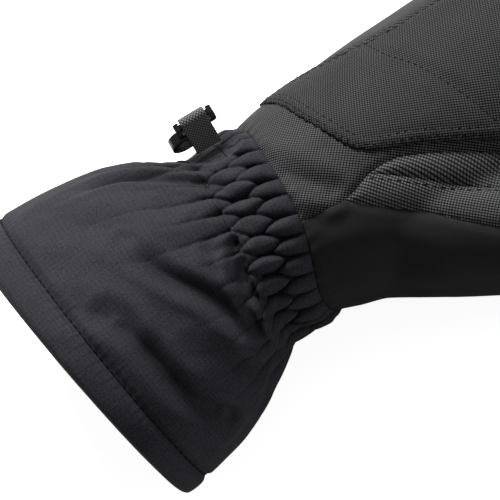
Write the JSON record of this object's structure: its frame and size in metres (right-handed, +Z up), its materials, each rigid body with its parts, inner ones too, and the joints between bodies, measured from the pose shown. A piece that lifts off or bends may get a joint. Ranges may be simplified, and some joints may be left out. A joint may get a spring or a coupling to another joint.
{
  "type": "ski mitten",
  "caption": "Left-hand insulated ski mitten with a flared gauntlet, gathered elastic wrist, overlaid back panel, articulated thumb and a small clip on a webbing loop.",
  "frame": {"origin": "on the flat underside of the palm patch, where the mitten rests palm down", "axes": "+X from the cuff towards the fingertips, +Z up away from the palm, thumb towards -Y"},
  "size_m": [0.3013, 0.1526, 0.0805],
  "materials": {
    "back_weave": "woven",
    "ripstop": "woven",
    "side_weave": "woven",
    "softshell": "matt",
    "palm_leather": "satin",
    "patch_leather": "grained",
    "wadding": "fluffy",
    "insert_film": "satin",
    "lining": "brushed",
    "cuff_lining": "smooth",
    "elastic": "woven",
    "webbing": "woven",
    "clip_plastic": "gloss",
    "pin_steel": "brushed"
  },
  "bodies": {
    "mitten": {"gauntlet_back": "ripstop", "gauntlet_palm": "ripstop", "gauntlet_hem": "ripstop", "gauntlet_wadding": "wadding", "gauntlet_lining": "cuff_lining", "wrist_gathers": "ripstop", "wrist_elastic_1": "elastic", "wrist_elastic_2": "elastic", "wrist_elastic_3": "elastic", "hand_back": "back_weave", "knuckle_overlay": "back_weave", "side_wall": "side_weave", "palm_panel": "palm_leather", "palm_patch": "patch_leather", "wrist_gusset": "softshell", "thumb_crest": "back_weave", "thumb_back": "back_weave", "thumb_palm": "palm_leather", "hand_wadding": "wadding", "thumb_wadding": "wadding", "waterproof_insert": "insert_film", "hand_lining": "lining", "thumb_lining": "lining"},
    "webbing_loop": {"clip_loop": "webbing"},
    "hook": {"clip_hook": "clip_plastic", "gate_pin": "pin_steel"},
    "gate": {"clip_gate": "clip_plastic"}
  },
  "joints": [
    {"name": "loop_flop", "type": "hinge", "parent": "mitten", "child": "webbing_loop", "pos_m": [-0.077, 0.02134, 0.0673], "axis": [1, 0, 0], "range_deg": [-8, 30], "stiffness_Nm_per_rad": 0.02},
    {"name": "clip_swing", "type": "hinge", "parent": "webbing_loop", "child": "hook", "pos_m": [-0.077, 0.02653, 0.07767], "axis": [1, 0, 0], "range_deg": [-4, 170]},
    {"name": "gate_flex", "type": "hinge", "parent": "hook", "child": "gate", "pos_m": [-0.08108, 0.03021, 0.06993], "axis": [0, 0.9033, 0.4289], "range_deg": [0, 24], "stiffness_Nm_per_rad": 0.02}
  ]
}
